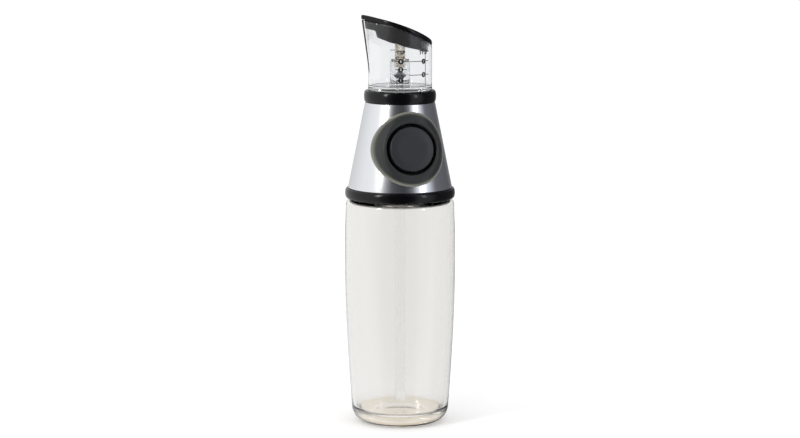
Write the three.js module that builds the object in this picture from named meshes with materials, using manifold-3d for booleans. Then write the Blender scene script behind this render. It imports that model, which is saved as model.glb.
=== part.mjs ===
// Oil pump bottle: a glass bottle with a screwed pump head, a side button, a measuring cup and a lid.
// Millimetres, +Z up, origin at the centre of the base. The button faces -Y and the spout points to -X.
import * as THREE from 'three';
import { mergeVertices } from 'three/addons/utils/BufferGeometryUtils.js';
import Module from 'manifold-3d';

const wasm = await Module();
wasm.setup();

// Fineness of the round shapes
const bodySegments = 32;
const smallSegments = 16;
const pumpSegments = 20;
const arcSteps = 3;
const bellySteps = 5;
const heelSteps = 5;
const rimSteps = 12;

// Clearances
const gap = 0.3;
const runningGap = 0.35;

// Glass bottle
const bottleRadius = 39.05;
const heelRadius = 11.1;
const footOuterRadius = 23.4;
const footInnerRadius = 17.5;
const pushUp = 2;
const shoulderRadius = 38.5;
const shoulderStart = 156.5;
const shoulderFillet = 4.5;
const shoulderRise = 1.2;
const glassWall = 2.8;
const baseThickness = 9.7;
const floorFillet = 2.6;
const neckRadius = 22.5;
const neckWall = 3;
const neckTop = 173;
const neckFillet = 2.2;
const neckRoot = 3;
const widestFrom = 105;
const widestTo = 136;
const heelSlope = 1.7;
const heelReach = 22;
const bellyReach = 30;

// Screw head
const threadDepth = 1.7;
const gasketThickness = 1.6;
const insertPlate = 2.8;
const insertSkirtWall = 2.3;
const insertSkirtDepth = 11.5;
const insertFlangeRadius = 33.6;
const insertFlangeThickness = 2;
const ventRadius = 0.8;

// Lower collar
const collarBottom = 161.5;
const collarHeight = 7;
const collarRadius = 39;
const collarTopRadius = 37.2;
const collarBottomRadius = 37.3;
const collarFloor = 2.3;
const collarFloorRise = 2.4;

// Conical housing
const coneHalfAngle = THREE.MathUtils.degToRad(11.35);
const coneBottomRadius = 36.9;
const coneHeight = 60.7;
const coneWall = 2;
const coneTopPlate = 2;
const coneTopHole = 16;

// Upper collar
const upperCollarHeight = 8;
const upperCollarRadius = 25.5;
const upperCollarFoot = 24.5;
const upperCollarRim = 23.6;
const upperCollarInnerRadius = 17.5;
const upperCollarSpigotDepth = 5;

// Measuring cup
const cupRadius = 22.6;
const cupWall = 2;
const cupFloor = 3;
const cupSpigotRadius = 14.6;
const cupSpigotWall = 2;
const cupSpigotDepth = 5.5;
const cupStubDepth = 9.5;
const columnRadius = 7;
const columnTop = 258;
const spoutReach = 29.2;
const spoutStart = 250.5;
const rimArcRadius = 158;
const rimAtSpout = 291.5;
const rimAtBack = 272.3;
const sealHeight = 1.6;

// Lid
const lidThickness = 3.2;
const skirtDepth = 10.3;
const skirtWall = 1.6;
const beadDepth = 5.5;
const beadHeight = 1.5;
const beadProud = 0.5;
const skirtOpeningTop = THREE.MathUtils.degToRad(40);
const skirtOpeningBottom = THREE.MathUtils.degToRad(56);
const plugSetback = 1;
const plugDepth = 3.2;

// Side button
const buttonHeight = 199;
const buttonRadius = 15.6;
const buttonProud = 2.2;
const buttonTravel = 8;
const buttonWall = 1.6;
const buttonFace = 2.2;
const buttonSkirt = 6;
const buttonEdge = 0.8;
const stemSocketWall = 1.4;
const stemSocketDepth = 3;
const bezelRadius = 26.2;
const bezelInnerRadius = 17.9;
const bezelInnerProud = 1;
const bezelEdge = 1;
const bezelProud = 1.9;
const bezelSleeveWall = 1.5;
const bezelSleeveDepth = 6.5;
const diaphragmWall = 0.4;
const diaphragmRoot = 0.8;
const diaphragmHeight = 2.7;

// Pump
const pumpBore = 9.5;
const pumpWall = 2;
const pumpFront = 9;
const pumpRearWall = 2;
const portMargin = 1.4;
const springLedgeRadius = 13.7;
const springLedgeThickness = 1.6;
const pistonLength = 5;
const stopClearance = 1;
const stemRadius = 3.4;
const sealSection = 1.3;
const springWire = 1.2;
const springTurns = 4;
const portRadius = 2;
const bossRadius = 9;
const spigotRadius = 3.6;
const spigotTop = 213;

// Suction valve and dip tube
const socketRadius = 6.2;
const socketBottom = 160;
const socketFlange = 8.5;
const socketFlangeThickness = 1.6;
const tubeRadius = 3.8;
const tubeWall = 1.1;
const tubeDepth = 9;
const tubeBottom = 12;
const tubeCut = 3;
const ballRadius = 2.6;
const cageRadius = 3.4;
const seatSlope = 0.64;
const seatBore = 1.8;
const socketWeb = 2.2;
const ballLift = 2;

// Outlet
const riserWall = 1.5;
const riserBottom = 206.5;
const outletSeat = 246;
const nozzleRadius = 3.6;
const nozzleWall = 1.2;
const nozzleTop = 272;
const nozzlePlug = 4;
const nozzlePlugWall = 0.7;
const nozzleFlange = 6.4;
const nozzleFlangeThickness = 1.4;
const nozzleSlot = 2.2;
const nozzleSlotBottom = 264;
const nozzleSlotTop = 269.5;
const nozzleRoof = 1.2;
const nozzleEdge = 0.8;

// Screws
const screwCircle = 30.3;
const screwAngles = [90, 210, 330];
const screwRadius = 1.4;
const screwHeadRadius = 2.6;
const screwHeadHeight = 1.2;
const screwLength = 13;
const screwBossRadius = 3.3;
const screwBossLength = 14;
const screwBossCap = 2;

// How far a cutting shape runs past what it cuts
const past = 1;

const material = (color, roughness, metalness = 0, opacity = 1) =>
  new THREE.MeshStandardMaterial({ color, roughness, metalness, opacity, transparent: opacity < 1 });

const glass = material(0xe9ecea, 0.03, 0, 0.3);
const clearPlastic = material(0xeff2f3, 0.08, 0, 0.35);
const blackPlastic = material(0x08080a, 0.22);
const silverPlastic = material(0xc4c6c9, 0.3, 0.9);
const bezelRubber = material(0x50524f, 0.5);
const buttonPlastic = material(0x3a3b3f, 0.42);
const blackRubber = material(0x101010, 0.7);
const whitePlastic = material(0xe6e4dd, 0.45);
const clearRubber = material(0xd9dbd6, 0.35);
const steel = material(0xb9bcc0, 0.25, 1);

const parts = new THREE.Group();

// Takes a closed geometry and returns it as a solid. Triangles that close to a line at an axis are left out.
function solidOf(geometry) {
  const plain = (geometry.index ? geometry.toNonIndexed() : geometry).clone();
  plain.deleteAttribute('normal');
  plain.deleteAttribute('uv');
  const merged = mergeVertices(plain, 1e-4);
  const index = merged.index.array;
  const kept = [];
  for (let i = 0; i < index.length; i += 3) {
    const [a, b, c] = [index[i], index[i + 1], index[i + 2]];
    if (a !== b && b !== c && c !== a) kept.push(a, b, c);
  }
  return new wasm.Manifold(new wasm.Mesh({
    numProp: 3,
    vertProperties: new Float32Array(merged.attributes.position.array),
    triVerts: new Uint32Array(kept),
  }));
}

function geometryOf(solid) {
  const mesh = solid.getMesh();
  const geometry = new THREE.BufferGeometry();
  geometry.setAttribute('position', new THREE.BufferAttribute(new Float32Array(mesh.vertProperties), 3));
  geometry.setIndex(new THREE.BufferAttribute(new Uint32Array(mesh.triVerts), 1));
  geometry.computeVertexNormals();
  return geometry;
}

function addPart(name, solid, finish, parent = parts) {
  const mesh = new THREE.Mesh(geometryOf(solid), finish);
  mesh.name = name;
  parent.add(mesh);
  return mesh;
}

// Turns a profile of [radius, height] points, listed anticlockwise, about the Z axis.
function turned(profile, segments = bodySegments) {
  const points = profile.map(([radius, height]) => new THREE.Vector2(radius, height));
  return solidOf(new THREE.LatheGeometry(points, segments).rotateX(Math.PI / 2));
}

function ring(inner, outer, bottom, top, segments = bodySegments) {
  return turned([[inner, bottom], [outer, bottom], [outer, top], [inner, top], [inner, bottom]], segments);
}

function rod(radius, bottom, top, segments = smallSegments) {
  return turned([[0, bottom], [radius, bottom], [radius, top], [0, top]], segments);
}

// Points on a round corner, from one angle to another in degrees.
function arc(centreRadius, centreHeight, radius, fromDeg, toDeg, steps = arcSteps) {
  return Array.from({ length: steps + 1 }, (_, i) => {
    const angle = THREE.MathUtils.degToRad(fromDeg + (toDeg - fromDeg) * i / steps);
    return [centreRadius + radius * Math.cos(angle), centreHeight + radius * Math.sin(angle)];
  });
}

// Closes a stack of rings with equal counts into one body, with a flat fan on each end.
function lofted(rings) {
  const count = rings[0].length;
  const positions = rings.flat(2);
  const index = [];
  for (let level = 0; level + 1 < rings.length; level += 1) {
    for (let i = 0; i < count; i += 1) {
      const a = level * count + i;
      const b = level * count + (i + 1) % count;
      index.push(a, b, b + count, a, b + count, a + count);
    }
  }
  const last = (rings.length - 1) * count;
  for (let i = 1; i + 1 < count; i += 1) {
    index.push(0, i + 1, i);
    index.push(last, last + i, last + i + 1);
  }
  const geometry = new THREE.BufferGeometry();
  geometry.setAttribute('position', new THREE.Float32BufferAttribute(positions, 3));
  geometry.setIndex(index);
  return solidOf(geometry);
}

// Joins the last ring of a loop of rings to the first, so that the body is a closed tube.
function looped(rings) {
  const count = rings[0].length;
  const positions = rings.flat(2);
  const index = [];
  rings.forEach((_, level) => {
    const next = (level + 1) % rings.length;
    for (let i = 0; i < count; i += 1) {
      const j = (i + 1) % count;
      const [a, b] = [level * count + i, level * count + j];
      const [c, d] = [next * count + j, next * count + i];
      index.push(a, b, c, a, c, d);
    }
  });
  const geometry = new THREE.BufferGeometry();
  geometry.setAttribute('position', new THREE.Float32BufferAttribute(positions, 3));
  geometry.setIndex(index);
  return solidOf(geometry);
}

// Places worked out from the sizes above
const shoulderTop = shoulderStart + shoulderFillet;
const neckFoot = shoulderTop + shoulderRise;
const neckBore = neckRadius - neckWall;
const gasketBottom = neckTop + gap;
const plateBottom = gasketBottom + gasketThickness + gap;
const plateTop = plateBottom + insertPlate;
const skirtInnerRadius = neckRadius + threadDepth + runningGap;
const skirtOuterRadius = skirtInnerRadius + insertSkirtWall;
const collarTop = collarBottom + collarHeight;
const collarFloorBottom = collarBottom + collarFloorRise;
const collarFloorTop = collarFloorBottom + collarFloor;
const coneBottom = collarTop + gap;
const coneTop = coneBottom + coneHeight;
const coneSlope = Math.tan(coneHalfAngle);
const coneRadiusAt = (height) => coneBottomRadius - (height - coneBottom) * coneSlope;
const upperCollarBottom = coneTop + gap;
const upperCollarTop = upperCollarBottom + upperCollarHeight;
const cupBottom = upperCollarTop + gap;
const cupFloorTop = cupBottom + cupFloor;
const cupBore = cupRadius - cupWall;

function bottleSide(inset) {
  const heelTop = new THREE.Vector2(footOuterRadius + heelRadius - inset, heelRadius);
  const widest = bottleRadius - inset;
  const belly = new THREE.CubicBezierCurve(
    heelTop,
    new THREE.Vector2(heelTop.x + heelSlope, heelTop.y + heelReach),
    new THREE.Vector2(widest, widestFrom - bellyReach),
    new THREE.Vector2(widest, widestFrom),
  );
  return [
    ...belly.getPoints(bellySteps).map((point) => [point.x, point.y]),
    [widest, widestTo],
    [shoulderRadius - inset, shoulderStart],
  ];
}

function glassBottle() {
  const outerFoot = [[0, pushUp], [footInnerRadius * 0.6, pushUp * 0.8], [footInnerRadius, 0]];
  const heel = arc(footOuterRadius, heelRadius, heelRadius, -90, 0, heelSteps);
  const shoulder = arc(shoulderRadius - shoulderFillet, shoulderStart, shoulderFillet, 0, 90);
  const neckCorner = arc(neckRadius + neckFillet, neckFoot + neckFillet, neckFillet, -90, -180, 2);
  const outer = [
    ...outerFoot,
    ...heel,
    ...bottleSide(0).slice(1, -1),
    ...shoulder,
    ...neckCorner,
    [neckRadius, neckTop],
  ];
  const innerShoulder = arc(
    shoulderRadius - shoulderFillet, shoulderStart, shoulderFillet - glassWall, 90, 0, 2,
  );
  const wallFoot = baseThickness + floorFillet;
  const inner = [
    [neckBore, neckTop],
    [neckBore, neckFoot - shoulderRise],
    [neckBore + neckRoot, shoulderTop - glassWall + shoulderRise / 2],
    ...innerShoulder,
    ...bottleSide(glassWall).reverse().slice(1, -1),
    ...arc(footOuterRadius + heelRadius - glassWall - floorFillet, wallFoot, floorFillet, 0, -90, 2),
    [0, baseThickness],
  ];
  addPart('glass_bottle', turned([...outer, ...inner]), glass);
}

function neckGasket() {
  const solid = ring(neckBore, neckRadius, gasketBottom, gasketBottom + gasketThickness);
  addPart('neck_gasket', solid, clearRubber);
}

function screwPlaces() {
  return screwAngles.map((degrees) => {
    const angle = THREE.MathUtils.degToRad(degrees);
    return [screwCircle * Math.cos(angle), screwCircle * Math.sin(angle)];
  });
}

function atScrews(solid) {
  return screwPlaces().map(([x, y]) => solid.translate([x, y, 0]));
}

function screwInsert() {
  const flangeBottom = collarFloorTop + gap;
  const flangeTop = flangeBottom + insertFlangeThickness;
  const skirtBottom = plateBottom - insertSkirtDepth;
  const socketHole = socketRadius + gap;
  let solid = turned([
    [skirtInnerRadius, skirtBottom],
    [skirtOuterRadius, skirtBottom],
    [skirtOuterRadius, flangeBottom],
    [insertFlangeRadius, flangeBottom],
    [insertFlangeRadius, flangeTop],
    [skirtOuterRadius, flangeTop],
    [skirtOuterRadius, plateTop],
    [socketHole, plateTop],
    [socketHole, plateBottom],
    [skirtInnerRadius, plateBottom],
    [skirtInnerRadius, skirtBottom],
  ]);
  const screwHole = rod(screwRadius + gap, flangeBottom - past, flangeTop + past);
  atScrews(screwHole).forEach((hole) => {
    solid = solid.subtract(hole);
  });
  const vent = rod(ventRadius, plateBottom - past, plateTop + past, 8);
  solid = solid.subtract(vent.translate([-(bossRadius + neckBore) / 2, 0, 0]));
  addPart('screw_insert', solid, whitePlastic);
}

// Outer side of a moulded ring that swells between two edges.
function swollenSide(footRadius, widest, rimRadius, bottom, top) {
  const steps = 6;
  return Array.from({ length: steps + 1 }, (_, i) => {
    const angle = (i / steps - 0.5) * Math.PI;
    const share = (1 + Math.sin(angle)) / 2;
    const edge = footRadius + (rimRadius - footRadius) * share;
    return [edge + (widest - edge) * Math.cos(angle) ** 0.7, bottom + (top - bottom) * share];
  });
}

function lowerCollar() {
  const floorInner = skirtOuterRadius + gap;
  const wallInner = insertFlangeRadius + gap;
  let solid = turned([
    [wallInner, collarBottom],
    ...swollenSide(collarBottomRadius, collarRadius, collarTopRadius, collarBottom, collarTop),
    [wallInner, collarTop],
    [wallInner, collarFloorTop],
    [floorInner, collarFloorTop],
    [floorInner, collarFloorBottom],
    [wallInner, collarFloorBottom],
    [wallInner, collarBottom],
  ]);
  atScrews(rod(screwRadius + gap, collarFloorBottom - past, collarFloorTop + past)).forEach((hole) => {
    solid = solid.subtract(hole);
  });
  addPart('lower_collar', solid, blackPlastic);
}

// The button's axis is square to the cone's side, so its frame is turned back by the cone's half angle.
const buttonFrame = new THREE.Group();
const coneRadiusAtButton = coneRadiusAt(buttonHeight);
buttonFrame.position.set(0, -coneRadiusAtButton, buttonHeight);
buttonFrame.rotation.x = Math.PI / 2 - coneHalfAngle;
buttonFrame.updateMatrixWorld();
const buttonMatrix = buttonFrame.matrixWorld.toArray();
parts.add(buttonFrame);

const inPartFrame = (solid) => solid.transform(buttonMatrix);

// Depths along the button's axis. The pressed piston stops short of the ports, which lie on the Z axis.
const portDepth = coneRadiusAtButton / Math.cos(coneHalfAngle);
const portHalf = portRadius / Math.cos(coneHalfAngle);
const pistonFace = portDepth - portHalf - stopClearance - buttonTravel;
const pumpRear = portDepth + portHalf + portMargin;
const springLedgeDepth = buttonSkirt + buttonTravel + stopClearance;

// Height of the cone's surface over the button's base plane, at a point across the button.
function coneSurface(x, y) {
  const reach = coneRadiusAtButton - y * Math.sin(coneHalfAngle);
  const double = Math.cos(2 * coneHalfAngle);
  return Math.cos(coneHalfAngle) * (Math.sqrt(reach * reach - x * x * double) - reach) / double;
}

function coneHousing() {
  const innerBottom = coneRadiusAt(coneBottom) - coneWall;
  const plateUnder = coneTop - coneTopPlate;
  let solid = turned([
    [innerBottom, coneBottom],
    [coneRadiusAt(coneBottom), coneBottom],
    [coneRadiusAt(coneTop), coneTop],
    [coneTopHole, coneTop],
    [coneTopHole, plateUnder],
    [coneRadiusAt(plateUnder) - coneWall, plateUnder],
    [innerBottom, coneBottom],
  ]);
  const bossBottom = collarFloorTop + 2 * gap + insertFlangeThickness;
  const boss = rod(screwBossRadius, bossBottom, bossBottom + screwBossLength);
  const insideCone = turned([
    [0, bossBottom],
    [coneRadiusAt(bossBottom) - coneWall / 2, bossBottom],
    [coneRadiusAt(plateUnder) - coneWall / 2, plateUnder],
    [0, plateUnder],
  ]);
  atScrews(boss).forEach((post) => {
    solid = solid.add(post.intersect(insideCone));
  });
  const screwHole = rod(screwRadius + gap, bossBottom - past, bossBottom + screwBossLength - screwBossCap);
  atScrews(screwHole).forEach((hole) => {
    solid = solid.subtract(hole);
  });
  const sleeveOuter = bezelInnerRadius + bezelSleeveWall;
  const hole = rod(sleeveOuter + gap, -coneRadiusAtButton / 2, coneRadiusAtButton / 2, bodySegments);
  addPart('cone_housing', solid.subtract(inPartFrame(hole)), silverPlastic);
}

function upperCollar() {
  const spigotBottom = upperCollarBottom - upperCollarSpigotDepth;
  const spigotOuter = coneTopHole - gap;
  const spigotInner = cupSpigotRadius + gap;
  addPart('upper_collar', turned([
    [spigotInner, spigotBottom],
    [spigotOuter, spigotBottom],
    [spigotOuter, upperCollarBottom],
    ...swollenSide(upperCollarFoot, upperCollarRadius, upperCollarRim, upperCollarBottom, upperCollarTop),
    [upperCollarInnerRadius, upperCollarTop],
    [upperCollarInnerRadius, upperCollarTop - sealHeight],
    [spigotInner, upperCollarTop - sealHeight],
    [spigotInner, spigotBottom],
  ]), blackPlastic);
}

// The rim and the lid follow one arc that falls from the spout to the back. Inset lowers it.
function rimSlab(topInset, bottomInset) {
  const front = new THREE.Vector2(-spoutReach, rimAtSpout);
  const back = new THREE.Vector2(cupRadius, rimAtBack);
  const chord = back.clone().sub(front);
  const half = chord.length() / 2;
  const drop = Math.sqrt(rimArcRadius * rimArcRadius - half * half);
  const centre = front.clone().add(back).multiplyScalar(0.5);
  centre.add(new THREE.Vector2(chord.y, -chord.x).normalize().multiplyScalar(drop));
  const reach = spoutReach + past;
  const edge = (inset) => Array.from({ length: rimSteps + 1 }, (_, i) => {
    const x = -reach + i * reach * 2 / rimSteps;
    const radius = rimArcRadius - inset;
    return new THREE.Vector2(x, centre.y + Math.sqrt(radius * radius - (x - centre.x) ** 2));
  });
  const outline = [...edge(bottomInset), ...edge(topInset).reverse()];
  const depth = reach * 2;
  const slab = new THREE.ExtrudeGeometry(new THREE.Shape(outline), { depth, bevelEnabled: false });
  return solidOf(slab.translate(0, 0, -reach).rotateX(Math.PI / 2));
}

// Wedge of the spout outside a cup of one radius. Its tip leans out from the wall up to the rim.
function spoutWedge(radius) {
  const slope = (spoutReach - cupRadius) / (rimAtSpout - spoutStart);
  const shareInside = 0.3;
  const section = (height) => {
    const tip = radius + (height - spoutStart) * slope;
    const half = Math.acos(radius / tip);
    const [x, y] = [radius * Math.cos(half), radius * Math.sin(half)];
    const inside = [x * shareInside, y * shareInside];
    return [
      [-inside[0], inside[1], height],
      [-x, y, height],
      [-tip, 0, height],
      [-x, -y, height],
      [-inside[0], -inside[1], height],
    ];
  };
  return lofted([section(spoutStart + past / 2), section(rimAtSpout + past)]);
}

function cupOutline(radius, bottom) {
  return rod(radius, bottom, rimAtSpout + past, bodySegments).add(spoutWedge(radius));
}

function measuringCup() {
  const stubBottom = cupBottom - cupStubDepth;
  const underside = cupBottom - past;
  const spigotBottom = cupBottom - cupSpigotDepth;
  const lower = turned([
    [0, stubBottom],
    [spigotRadius, stubBottom],
    [spigotRadius, underside],
    [cupSpigotRadius - cupSpigotWall, underside],
    [cupSpigotRadius - cupSpigotWall, spigotBottom],
    [cupSpigotRadius, spigotBottom],
    [cupSpigotRadius, cupBottom + past],
    [0, cupBottom + past],
  ]);
  const hollow = cupOutline(cupBore, cupFloorTop);
  const cavity = hollow.subtract(rod(columnRadius, cupFloorTop - past, columnTop));
  const overRim = rimSlab(-rimAtSpout / 4, lidThickness + gap);
  const body = cupOutline(cupRadius, cupBottom).subtract(overRim).add(lower).subtract(cavity);
  const nozzleBore = nozzleRadius + nozzlePlugWall;
  const seatTop = outletSeat + (cageRadius - seatBore) / seatSlope;
  const passage = turned([
    [0, stubBottom - past],
    [seatBore, stubBottom - past],
    [seatBore, outletSeat],
    [cageRadius, seatTop],
    [nozzleBore, seatTop],
    [nozzleBore, columnTop + past],
    [0, columnTop + past],
  ], smallSegments);
  addPart('measuring_cup', body.subtract(passage), clearPlastic);
}

function cupSeal() {
  const bottom = upperCollarTop - sealHeight + gap;
  const inner = cupSpigotRadius + gap;
  const outer = upperCollarInnerRadius - gap;
  addPart('cup_seal', ring(inner, outer, bottom, upperCollarTop), clearRubber);
}

// Sector at the spout that the lid's skirt leaves open, wider at its foot.
function skirtOpening() {
  const bottom = cupFloorTop;
  const reach = spoutReach + past;
  return lofted([[bottom, skirtOpeningBottom], [rimAtSpout, skirtOpeningTop]].map(([height, angle]) => [
    [0, 0, height],
    [-reach, reach * Math.tan(angle), height],
    [-reach, -reach * Math.tan(angle), height],
  ]));
}

function lid() {
  const plate = cupOutline(cupRadius, cupFloorTop).intersect(rimSlab(0, lidThickness));
  const outer = cupBore - gap;
  const skirtOuter = outer - beadProud;
  const tube = (radius) => ring(skirtOuter - skirtWall, radius, cupFloorTop, rimAtSpout);
  const sunk = lidThickness / 2;
  const skirt = tube(skirtOuter).intersect(rimSlab(sunk, lidThickness + skirtDepth));
  const beadTop = lidThickness + beadDepth;
  const bead = tube(outer).intersect(rimSlab(beadTop, beadTop + beadHeight));
  const plug = spoutWedge(outer)
    .intersect(rimSlab(sunk, lidThickness + plugDepth))
    .subtract(rod(cupBore + plugSetback, cupFloorTop, rimAtSpout + past, bodySegments));
  addPart('lid', plate.add(skirt.add(bead).subtract(skirtOpening())).add(plug), blackPlastic);
}

function buttonCap() {
  const inner = buttonRadius - buttonWall;
  const under = buttonProud - buttonFace;
  const socketInner = stemRadius + gap;
  const socketOuter = socketInner + stemSocketWall;
  addPart('button_cap', turned([
    [0, under],
    [socketInner, under],
    [socketInner, under - stemSocketDepth],
    [socketOuter, under - stemSocketDepth],
    [socketOuter, under],
    [inner, under],
    [inner, -buttonSkirt],
    [buttonRadius, -buttonSkirt],
    ...arc(buttonRadius - buttonEdge, buttonProud - buttonEdge, buttonEdge, 0, 90, 2),
    [0, buttonProud],
  ]), buttonPlastic, buttonFrame);
}

const pistonRadius = pumpBore - runningGap;
const pistonMiddle = -pistonFace + pistonLength / 2;
const grooveRadius = pistonRadius - sealSection;

function plunger() {
  const front = -pistonFace + pistonLength;
  const grooveHalf = (sealSection + gap) / 2;
  const stemEnd = buttonProud - buttonFace - gap;
  addPart('plunger', turned([
    [0, -pistonFace],
    [pistonRadius, -pistonFace],
    [pistonRadius, pistonMiddle - grooveHalf],
    [grooveRadius, pistonMiddle - grooveHalf],
    [grooveRadius, pistonMiddle + grooveHalf],
    [pistonRadius, pistonMiddle + grooveHalf],
    [pistonRadius, front],
    [stemRadius, front],
    [stemRadius, stemEnd],
    [0, stemEnd],
  ], pumpSegments), whitePlastic, buttonFrame);
}

function pistonSeal() {
  const inner = grooveRadius + gap / 2;
  const outer = pumpBore - gap / 2;
  const half = (sealSection - gap / 2) / 2;
  const seal = ring(inner, outer, pistonMiddle - half, pistonMiddle + half, pumpSegments);
  addPart('piston_seal', seal, blackRubber, buttonFrame);
}

function returnSpring() {
  const radius = buttonRadius - buttonWall - runningGap - springWire / 2;
  const top = buttonProud - buttonFace - gap - springWire / 2;
  const bottom = -springLedgeDepth + gap + springWire / 2;
  const perTurn = 10;
  const sides = 6;
  const steps = springTurns * perTurn;
  const rings = Array.from({ length: steps + 1 }, (_, i) => {
    const angle = i * 2 * Math.PI / perTurn;
    const height = bottom + (top - bottom) * i / steps;
    return Array.from({ length: sides }, (_unused, j) => {
      const turn = -j * 2 * Math.PI / sides;
      const reach = radius + springWire / 2 * Math.cos(turn);
      return [reach * Math.cos(angle), reach * Math.sin(angle), height + springWire / 2 * Math.sin(turn)];
    });
  });
  addPart('return_spring', lofted(rings), steel, buttonFrame);
}

// Soft ring around the button. Its back hugs the cone and its front rises to a flat circle at the groove.
function buttonBezel() {
  const sleeveOuter = bezelInnerRadius + bezelSleeveWall;
  const crest = bezelInnerRadius + bezelEdge;
  const rings = Array.from({ length: bodySegments }, (_, i) => {
    const angle = i * 2 * Math.PI / bodySegments;
    const [c, s] = [Math.cos(angle), Math.sin(angle)];
    const over = (radius, lift) => [radius, coneSurface(radius * c, radius * s) + lift];
    const lip = over(bezelRadius - bezelEdge, bezelProud);
    const between = (share) => [
      lip[0] + (crest - lip[0]) * share,
      lip[1] + (bezelInnerProud - lip[1]) * Math.sin(share * Math.PI / 2),
    ];
    const section = [
      [bezelInnerRadius, bezelInnerProud - bezelEdge],
      between(1),
      between(0.65),
      between(0.3),
      lip,
      over(bezelRadius, bezelProud / 2),
      over(bezelRadius - gap, gap),
      over((sleeveOuter + bezelRadius) / 2, gap),
      over(sleeveOuter, gap),
      [sleeveOuter, -bezelSleeveDepth],
      [bezelInnerRadius, -bezelSleeveDepth],
    ];
    return section.map(([radius, height]) => [radius * c, radius * s, height]);
  });
  addPart('button_bezel', looped(rings), bezelRubber, buttonFrame);
}

function buttonDiaphragm() {
  const inner = buttonRadius + gap;
  const outer = bezelInnerRadius - gap;
  const bottom = -bezelSleeveDepth;
  const top = bottom + diaphragmHeight;
  const root = bottom + diaphragmRoot;
  addPart('button_diaphragm', turned([
    [inner, bottom],
    [outer, bottom],
    [outer, top],
    [outer - diaphragmWall, top],
    [outer - diaphragmWall, root],
    [inner + diaphragmWall, root],
    [inner + diaphragmWall, top],
    [inner, top],
    [inner, bottom],
  ]), blackRubber, buttonFrame);
}

function pumpBody() {
  const outer = pumpBore + pumpWall;
  const ledgeBack = -springLedgeDepth - springLedgeThickness;
  const barrel = turned([
    [0, -pumpRear - pumpRearWall],
    [outer, -pumpRear - pumpRearWall],
    [outer, ledgeBack],
    [springLedgeRadius, ledgeBack],
    [springLedgeRadius, -springLedgeDepth],
    [outer, -springLedgeDepth],
    [outer, -pumpFront],
    [0, -pumpFront],
  ], pumpSegments);
  const bore = rod(pumpBore, -pumpRear, -pumpFront + past, pumpSegments);
  const bossBottom = plateTop + gap;
  const axisHeight = buttonHeight - portDepth * Math.sin(coneHalfAngle);
  const boss = rod(bossRadius, bossBottom, axisHeight);
  const spigot = rod(spigotRadius, axisHeight, spigotTop);
  const socketBore = rod(socketRadius + gap, bossBottom - past, cageCeiling());
  const port = rod(portRadius, bossBottom, spigotTop + past);
  const solid = inPartFrame(barrel).add(boss).add(spigot)
    .subtract(inPartFrame(bore)).subtract(socketBore).subtract(port);
  addPart('pump_body', solid, whitePlastic);
}

// Height of a ball's centre when it sits on a conical seat with the usual gap.
function ballOnSeat(seatHeight) {
  const reach = (ballRadius + gap) * Math.hypot(1, seatSlope);
  return seatHeight + (reach - seatBore) / seatSlope;
}

function socketSeat() {
  return socketBottom + tubeDepth + gap + socketWeb;
}

function cageCeiling() {
  const side = Math.sqrt(ballRadius * ballRadius - portRadius * portRadius);
  return ballOnSeat(socketSeat()) + ballLift + side + gap;
}

function inletSocket() {
  const tubeBore = tubeRadius + gap;
  const tubeStop = socketBottom + tubeDepth + gap;
  const seat = socketSeat();
  const seatTop = seat + (cageRadius - seatBore) / seatSlope;
  const flangeTop = plateBottom - gap;
  const top = cageCeiling() - gap;
  addPart('inlet_socket', turned([
    [tubeBore, socketBottom],
    [socketRadius, socketBottom],
    [socketRadius, flangeTop - socketFlangeThickness],
    [socketFlange, flangeTop - socketFlangeThickness],
    [socketFlange, flangeTop],
    [socketRadius, flangeTop],
    [socketRadius, top],
    [cageRadius, top],
    [cageRadius, seatTop],
    [seatBore, seat],
    [seatBore, tubeStop],
    [tubeBore, tubeStop],
    [tubeBore, socketBottom],
  ], pumpSegments), whitePlastic);
}

function ballAt(height) {
  return solidOf(new THREE.SphereGeometry(ballRadius, 12, 8)).translate([0, 0, height]);
}

function dipTube() {
  const top = socketBottom + tubeDepth;
  const tube = ring(tubeRadius - tubeWall, tubeRadius, tubeBottom, top, smallSegments);
  const slant = Math.atan2(tubeCut, 2 * tubeRadius);
  const size = tubeRadius * 8;
  const cutter = new THREE.BoxGeometry(size, size, size).translate(0, 0, -size / 2).rotateY(slant);
  cutter.translate(0, 0, tubeBottom + tubeCut / 2);
  addPart('dip_tube', tube.subtract(solidOf(cutter)), clearPlastic);
}

function riserTube() {
  const inner = spigotRadius + gap;
  const top = cupBottom - past - gap;
  addPart('riser_tube', ring(inner, inner + riserWall, riserBottom, top, smallSegments), clearRubber);
}

function nozzleCap() {
  const side = Math.sqrt(ballRadius * ballRadius - portRadius * portRadius);
  const stop = ballOnSeat(outletSeat) + ballLift + side + gap;
  const plugBottom = Math.max(stop, columnTop - nozzlePlug);
  const plugRadius = nozzleRadius + nozzlePlugWall - gap;
  const flangeBottom = columnTop + gap;
  const flangeTop = flangeBottom + nozzleFlangeThickness;
  const bore = nozzleRadius - nozzleWall;
  const roof = nozzleTop - nozzleRoof;
  const solid = turned([
    [portRadius, plugBottom],
    [plugRadius, plugBottom],
    [plugRadius, flangeBottom],
    [nozzleFlange, flangeBottom],
    [nozzleFlange, flangeTop],
    [nozzleRadius, flangeTop],
    [nozzleRadius, nozzleTop - nozzleEdge],
    [nozzleRadius - nozzleEdge, nozzleTop],
    [0, nozzleTop],
    [0, roof],
    [bore, roof],
    [bore, flangeTop],
    [portRadius, flangeBottom],
    [portRadius, plugBottom],
  ], smallSegments);
  const slotHeight = nozzleSlotTop - nozzleSlotBottom;
  const slot = new THREE.BoxGeometry(nozzleRadius * 3, nozzleSlot, slotHeight)
    .translate(0, 0, nozzleSlotBottom + slotHeight / 2);
  const crossSlot = slot.clone().rotateZ(Math.PI / 2);
  addPart('nozzle_cap', solid.subtract(solidOf(slot)).subtract(solidOf(crossSlot)), blackPlastic);
}

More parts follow.
